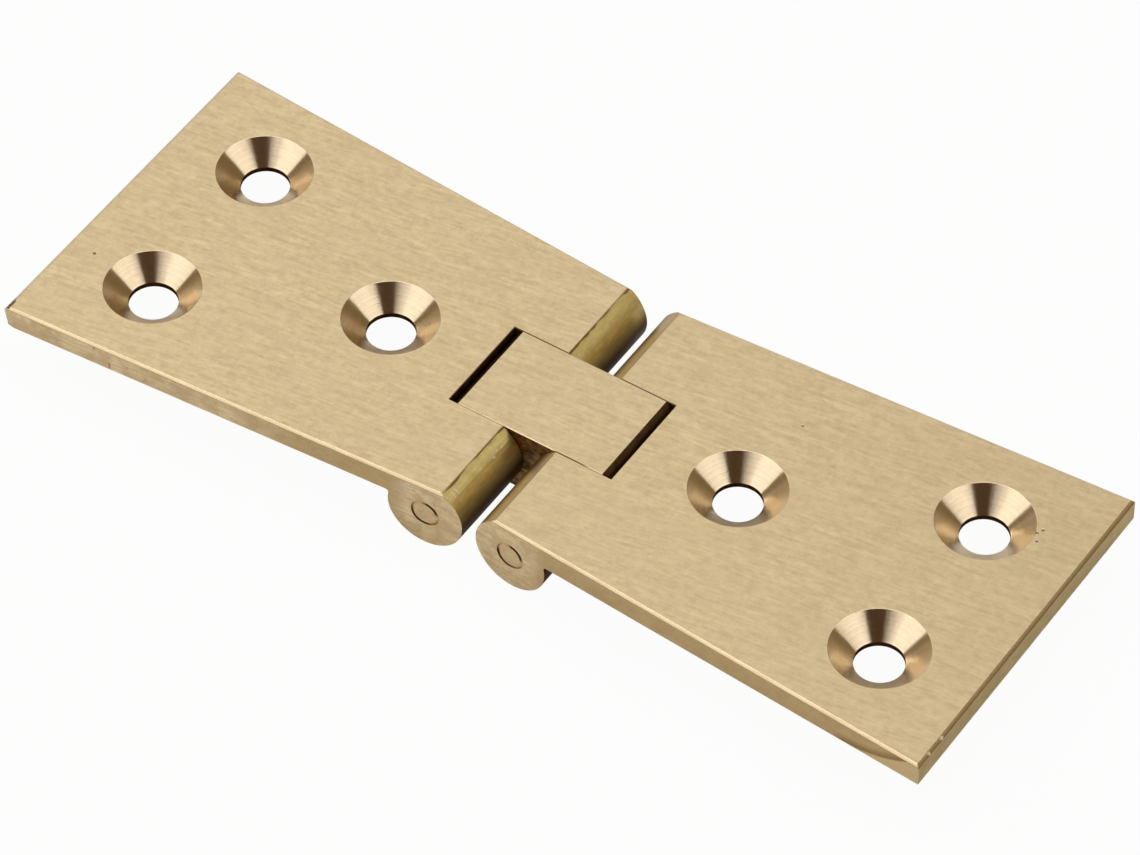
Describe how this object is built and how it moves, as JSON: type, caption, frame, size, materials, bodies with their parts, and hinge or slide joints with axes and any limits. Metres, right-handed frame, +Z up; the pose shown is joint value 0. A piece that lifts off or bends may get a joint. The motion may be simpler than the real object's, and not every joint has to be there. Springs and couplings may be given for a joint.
{
  "type": "counter flap hinge",
  "caption": "Solid brass counter flap hinge: tapered leaves with countersunk screw holes, joined by a short pinned link that lies flush with them.",
  "frame": {"origin": "centre of the footprint at the feet of the barrels, which is under the middle of the link", "axes": "+X runs along the hinge from the fixed leaf to the flap leaf, +Y across it, and +Z up out of the flush top faces"},
  "size_m": [0.1016, 0.0382, 0.0076],
  "materials": {
    "satin_brass": "satin, brushed along the hinge on the top faces, with turned countersinks and plain ground edges",
    "pin_brass": "filed off flush, dull"
  },
  "bodies": {
    "fixed_side": {"fixed_leaf": "satin_brass", "fixed_pin": "pin_brass"},
    "link": {"link": "satin_brass"},
    "flap_side": {"flap_leaf": "satin_brass", "flap_pin": "pin_brass"}
  },
  "joints": [
    {"name": "link_fold", "type": "hinge", "parent": "fixed_side", "child": "link", "pos_m": [-0.00475, 0, 0.004], "axis": [0, -1, 0], "range_deg": [0, 90]},
    {"name": "flap_fold", "type": "hinge", "parent": "link", "child": "flap_side", "pos_m": [0.00475, 0, 0.004], "axis": [0, -1, 0], "range_deg": [0, 90]}
  ]
}
